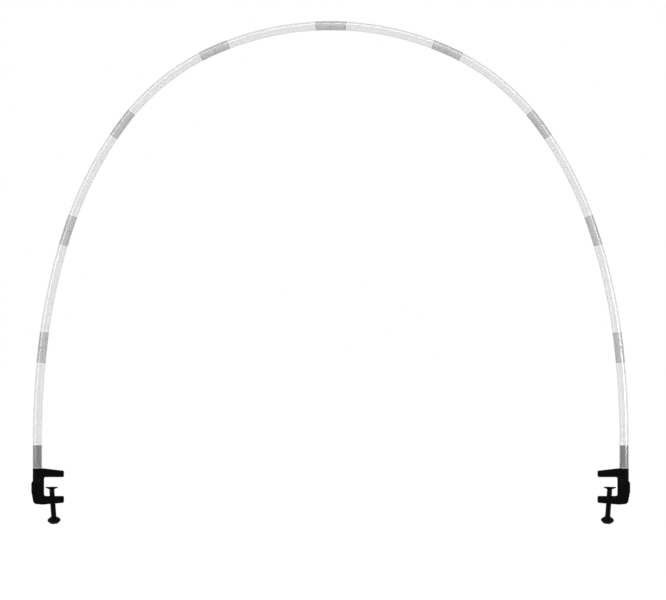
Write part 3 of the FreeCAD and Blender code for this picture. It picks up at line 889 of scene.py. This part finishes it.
class ARCH_OT_clamp_frames(bpy.types.Operator):
    """Round the edges of the C-shaped clamp frames"""
    bl_idname = "arch.clamp_frames"
    bl_label = "Clamp frames"

    def execute(self, context):
        solid = frame["nodes"]["right_clamp_frame"]
        piece = bpy.data.objects.new("clamp_frame", solid.data.copy())
        bpy.context.scene.collection.objects.link(piece)
        deselect()
        edit(piece)
        weld()
        # the solid's triangles become the flat faces that they make up
        bpy.ops.mesh.dissolve_limited(angle_limit=math.radians(1))
        leave_edit()
        round_edges(piece, context.scene.clamp_sizes.edge_round, limit=40, segments=3)
        smooth(piece)
        dress_black(context, piece, "clamp_frame", "clamp_black")
        return {"FINISHED"}


class ARCH_OT_screws(bpy.types.Operator):
    """Model the threaded screws"""
    bl_idname = "arch.screws"
    bl_label = "Screws"

    def thread(self, sizes, bottom, top):
        """One pitch of the thread's profile, carried down a right-handed helix."""
        root, crest = sizes.thread_radius - sizes.thread_depth, sizes.thread_radius - 0.02 * MM
        shape = ((root, 0), (root, 0.16), (crest, 0.42), (crest, 0.58), (root, 0.84), (root, 1))
        turns = math.floor((top - bottom) / sizes.pitch) - 1
        start = bottom + turns * sizes.pitch
        piece = new_circle(len(shape), sizes.pitch)
        edit(piece)
        mesh = bmesh.from_edit_mesh(piece.data)
        mesh.verts.ensure_lookup_table()
        for vertex, (radius, share) in zip(mesh.verts, shape):
            vertex.co = (radius, 0, start + share * sizes.pitch)
        bpy.ops.mesh.select_mode(type="EDGE")
        bpy.ops.mesh.select_all(action="DESELECT")
        closing = next(edge for edge in mesh.edges
                       if abs(edge.verts[0].index - edge.verts[1].index) > 1)
        closing.select_set(True)
        bmesh.update_edit_mesh(piece.data)
        bpy.ops.mesh.delete(type="EDGE")
        bpy.ops.mesh.select_all(action="SELECT")
        bpy.ops.mesh.screw(steps=36, turns=turns, center=(0, 0, 0), axis=(0, 0, -1))
        outward_faces()
        leave_edit()
        return piece

    def execute(self, context):
        sizes = context.scene.clamp_sizes
        # the core lies a little inside the thread's root, and collars close both ends
        core = sizes.thread_radius - sizes.thread_depth - 0.05 * MM
        top, bottom, edge = sizes.thread_top, -sizes.knob_top, 0.4 * MM
        tip = top + sizes.bearing_length
        body = stack("screw", [
            (sizes.thread_radius, bottom),
            (sizes.thread_radius, bottom + 2.4 * MM),
            (core, bottom + 3 * MM),
            (core, top - 2.4 * MM),
            (sizes.thread_radius, top - 1.9 * MM),
            (sizes.thread_radius, top - edge),
            (sizes.thread_radius - edge, top),
            (sizes.bearing_radius, top),
            (sizes.bearing_radius, tip - edge),
            (sizes.bearing_radius - edge, tip),
        ], 48)
        piece = join([body, self.thread(sizes, bottom + 0.8 * MM, top - 0.6 * MM)])
        put(piece, joint_frame("right_screw_travel"))
        smooth(piece, 28)
        dress_black(context, piece, "screw", "screw_black", 900.0, 0.45, 0.05)
        return {"FINISHED"}


class ARCH_OT_knobs(bpy.types.Operator):
    """Model the fluted, lens-shaped knobs"""
    bl_idname = "arch.knobs"
    bl_label = "Knobs"

    def execute(self, context):
        sizes = context.scene.clamp_sizes
        steps = 7

        def half(end, end_radius):
            """From the widest height out to one end; the radius falls off as a parabola."""
            fall = sizes.knob_radius - end_radius
            return [(sizes.knob_radius - fall * (step / steps) ** 2,
                     -sizes.knob_middle + (sizes.knob_middle - end) * step / steps)
                    for step in range(1, steps + 1)]

        below = half(sizes.knob_base, sizes.foot_radius)
        above = half(sizes.knob_top, sizes.hub_radius)
        widest = (sizes.knob_radius, -sizes.knob_middle)
        piece = stack("knob", [*reversed(below), widest, *above], 8 * sizes.flutes,
                      sizes.flutes, sizes.flute_depth)
        round_edges(piece, 0.5 * MM, limit=40)
        put(piece, joint_frame("right_screw_travel"))
        smooth(piece)
        dress_black(context, piece, "knob", "knob_black", 1100.0, 0.5, 0.045)
        return {"FINISHED"}


class ARCH_OT_pads(bpy.types.Operator):
    """Model the swivel studs and the pads that tilt on them"""
    bl_idname = "arch.pads"
    bl_label = "Studs and pads"

    def execute(self, context):
        sizes = context.scene.clamp_sizes
        screw = joint_frame("right_screw_travel")
        tilt = joint_frame("right_pad_tilt").translation
        button = (screw.inverted() @ tilt).z
        play, edge, half_button = 0.05 * MM, 0.3 * MM, sizes.button_height / 2
        tilt_room = 0.35 * MM
        bottom = sizes.thread_top + play
        roof = sizes.thread_top + sizes.bearing_length + 2 * play
        stud = stack("swivel_stud", [
            (sizes.bearing_radius + play, roof),
            (sizes.bearing_radius + play, bottom),
            (sizes.stud_radius - edge, bottom),
            (sizes.stud_radius, bottom + edge),
            (sizes.stud_radius, sizes.stud_top - sizes.stud_taper),
            (sizes.neck_radius + 2 * edge, sizes.stud_top),
            (sizes.neck_radius, sizes.stud_top),
            (sizes.neck_radius, button - half_button),
            (sizes.button_radius, button - half_button),
            (sizes.button_radius, button + half_button - edge / 2),
            (sizes.button_radius - edge / 2, button + half_button),
        ], 40)
        put(stud, screw)
        smooth(stud)
        dress_black(context, stud, "swivel_stud", "stud_black", 900.0, 0.45, 0.05)

        hollow, face = sizes.button_radius + tilt_room, sizes.pad_rise
        rim = face - sizes.pad_rim
        # two grooves in the pad's face: shares of its radius, and 1 where it is sunk
        grip_grooves = ((0.80, 0), (0.78, 1), (0.74, 1), (0.72, 0),
                        (0.44, 0), (0.42, 1), (0.38, 1), (0.36, 0))
        pad = stack("pad", [
            (hollow, half_button + tilt_room),
            (hollow, -half_button - tilt_room),
            (sizes.mouth_radius, -half_button - tilt_room),
            (sizes.mouth_radius, -sizes.pad_drop),
            (sizes.skirt_radius - edge, -sizes.skirt_drop),
            (sizes.skirt_radius + edge, -sizes.skirt_drop),
            (sizes.skirt_radius + 2.5 * edge, -sizes.skirt_drop + 3 * edge),
            (sizes.skirt_radius + 8 * edge, -sizes.pad_drop + edge),
            (0.8 * sizes.pad_radius, rim - 2 * edge),
            (sizes.pad_radius - edge, rim - edge * 0.2),
            (sizes.pad_radius, rim + edge),
            (sizes.pad_radius, face - edge),
            (sizes.pad_radius - edge, face),
            *[(share * sizes.pad_radius, face - sunk * edge) for share, sunk in grip_grooves],
        ], 64)
        level = joint_frame("right_pad_face")
        level.translation = tilt
        put(pad, level)
        smooth(pad)
        dress_black(context, pad, "pad", "pad_black", 1300.0, 0.55, 0.045)
        return {"FINISHED"}


# ---- the stage


class ARCH_OT_stage(bpy.types.Operator):
    """Set up the floor, the lamps and the camera"""
    bl_idname = "arch.stage"
    bl_label = "Floor, lamps and camera"

    def seen_by_eye(self, nodes):
        """1 for what the camera sees directly, in a gloss or through a clear wall."""
        path = nodes.add("ShaderNodeLightPath")
        seen = nodes.math("MAXIMUM", path.outputs["Is Camera Ray"], path.outputs["Is Glossy Ray"])
        return nodes.math("MAXIMUM", seen, path.outputs["Is Transmission Ray"])

    def floor(self, settings):
        deselect()
        # a clamp that has slipped all the way down with its post still clears the floor
        level = CAD_BOX[0].z - settings.room_below
        bpy.ops.mesh.primitive_plane_add(size=settings.floor_size, location=(0, 0, level))
        bpy.ops.object.transform_apply(location=True)
        floor = bpy.context.object
        floor.name = "floor"
        material, nodes, shader = new_material(
            "pale_floor", Base_Color=shade((0.9,) * 3), Roughness=0.9, Specular_IOR_Level=0.0)
        glow = nodes.add("ShaderNodeEmission")
        glow.inputs["Strength"].default_value = settings.floor_glow
        mix = nodes.add("ShaderNodeMixShader")
        seen = nodes.math("MULTIPLY", self.seen_by_eye(nodes), settings.glow_share)
        nodes.link(seen, mix.inputs["Fac"])
        nodes.link(shader.outputs[0], mix.inputs[1])
        nodes.link(glow.outputs[0], mix.inputs[2])
        nodes.link(mix.outputs[0], material.node_tree.nodes["Material Output"].inputs["Surface"])
        floor.data.materials.append(material)

    def world(self, settings):
        world = bpy.data.worlds.new("white_studio")
        world.use_nodes = True
        nodes = Nodes(world.node_tree)
        background = world.node_tree.nodes["Background"]
        background.inputs["Color"].default_value = (1, 1, 1, 1)
        seen = self.seen_by_eye(nodes)
        strength = nodes.spread(seen, 0, 1, settings.world_light, 1.0)
        nodes.link(strength, background.inputs["Strength"])
        bpy.context.scene.world = world

    def lamp(self, name, spot, target, size, watts, spread=math.pi, gloss=False):
        """An area lamp that either lights the surfaces or only shows in their gloss."""
        light = bpy.data.lights.new(name, "AREA")
        light.shape = "RECTANGLE"
        light.size, light.size_y = size
        light.energy = watts
        light.spread = spread
        lamp = bpy.data.objects.new(name, light)
        lamp.location = spot
        lamp.rotation_mode = "QUATERNION"
        lamp.rotation_quaternion = (target - Vector(spot)).to_track_quat("-Z", "Y")
        lamp.visible_camera = False
        lamp.visible_diffuse = not gloss
        lamp.visible_glossy = gloss
        bpy.context.scene.collection.objects.link(lamp)
        return lamp

    def lamps(self, settings):
        """A soft front lamp, and a ring of strips that draw the gloss along the tubes."""
        centre = Vector((0, 0, settings.ring_height))
        self.lamp("front_softbox", (0.4, -4.5, 0.6), centre, (3.0, 2.0), settings.softbox_power)
        last = settings.strips - 1
        spacing = math.pi * settings.ring_radius / last
        forward = Vector((0, -1, 0))
        for number in range(-1, settings.strips + 1):
            turn = math.pi * min(max(number, 0), last) / last
            side = Vector((math.cos(turn), 0, math.sin(turn)))
            target, watts = centre + side * settings.ring_radius, settings.strip_power
            if number in (-1, settings.strips):
                # below the ring's two ends, one more strip for each post
                target.z -= spacing
                watts = settings.post_strip_power
            back = side * math.sin(settings.strip_angle) + forward * math.cos(settings.strip_angle)
            strip = self.lamp(f"strip_{number + 1}", target + back * settings.strip_distance,
                              target, (settings.strip_length, settings.strip_width), watts,
                              settings.strip_spread, gloss=True)
            along = Vector((-math.sin(turn), 0, math.cos(turn)))
            turned = Matrix((along, back.cross(along), back)).transposed()
            strip.rotation_quaternion = turned.to_quaternion()

    def camera(self, settings):
        width, height = 666, 600
        camera = bpy.data.objects.new("camera", bpy.data.cameras.new("camera"))
        across = (width / 2 - settings.axis_column) * settings.pixel
        up = (settings.table_row - height / 2) * settings.pixel
        camera.location = (across, -settings.distance, up)
        camera.rotation_euler = (math.pi / 2, 0, 0)
        camera.data.lens = camera.data.sensor_width * settings.distance / (width * settings.pixel)
        camera.data.clip_end = 200
        bpy.context.scene.collection.objects.link(camera)
        bpy.context.scene.camera = camera

    def execute(self, context):
        settings = context.scene.stage_settings
        context.scene.view_settings.view_transform = "Standard"
        self.floor(settings)
        self.world(settings)
        self.lamps(settings)
        self.camera(settings)
        return {"FINISHED"}


# ---- the add-on


class ARCH_PT_panel(bpy.types.Panel):
    bl_label = "Arch frame"
    bl_idname = "ARCH_PT_panel"
    bl_space_type = "VIEW_3D"
    bl_region_type = "UI"
    bl_category = "Arch"

    def draw(self, context):
        for operator in OPERATORS:
            self.layout.operator(operator.bl_idname)


SETTINGS = {
    "arch_sizes": ArchSizes,
    "connector_sizes": ConnectorSizes,
    "clamp_sizes": ClampSizes,
    "arch_colours": FinishColours,
    "stage_settings": StageSettings,
}
OPERATORS = (ARCH_OT_tubes, ARCH_OT_connectors, ARCH_OT_posts, ARCH_OT_clamp_frames,
             ARCH_OT_screws, ARCH_OT_knobs, ARCH_OT_pads, ARCH_OT_stage)


def register():
    for kind in (*SETTINGS.values(), *OPERATORS, ARCH_PT_panel):
        bpy.utils.register_class(kind)
    for name, kind in SETTINGS.items():
        setattr(bpy.types.Scene, name, PointerProperty(type=kind))


def unregister():
    for name in SETTINGS:
        delattr(bpy.types.Scene, name)
    for kind in reversed((*SETTINGS.values(), *OPERATORS, ARCH_PT_panel)):
        bpy.utils.unregister_class(kind)


def main():
    register()
    bpy.ops.arch.tubes()
    bpy.ops.arch.connectors()
    bpy.ops.arch.posts()
    bpy.ops.arch.clamp_frames()
    bpy.ops.arch.screws()
    bpy.ops.arch.knobs()
    bpy.ops.arch.pads()
    bpy.ops.arch.stage()


if __name__ == "__main__":
    main()
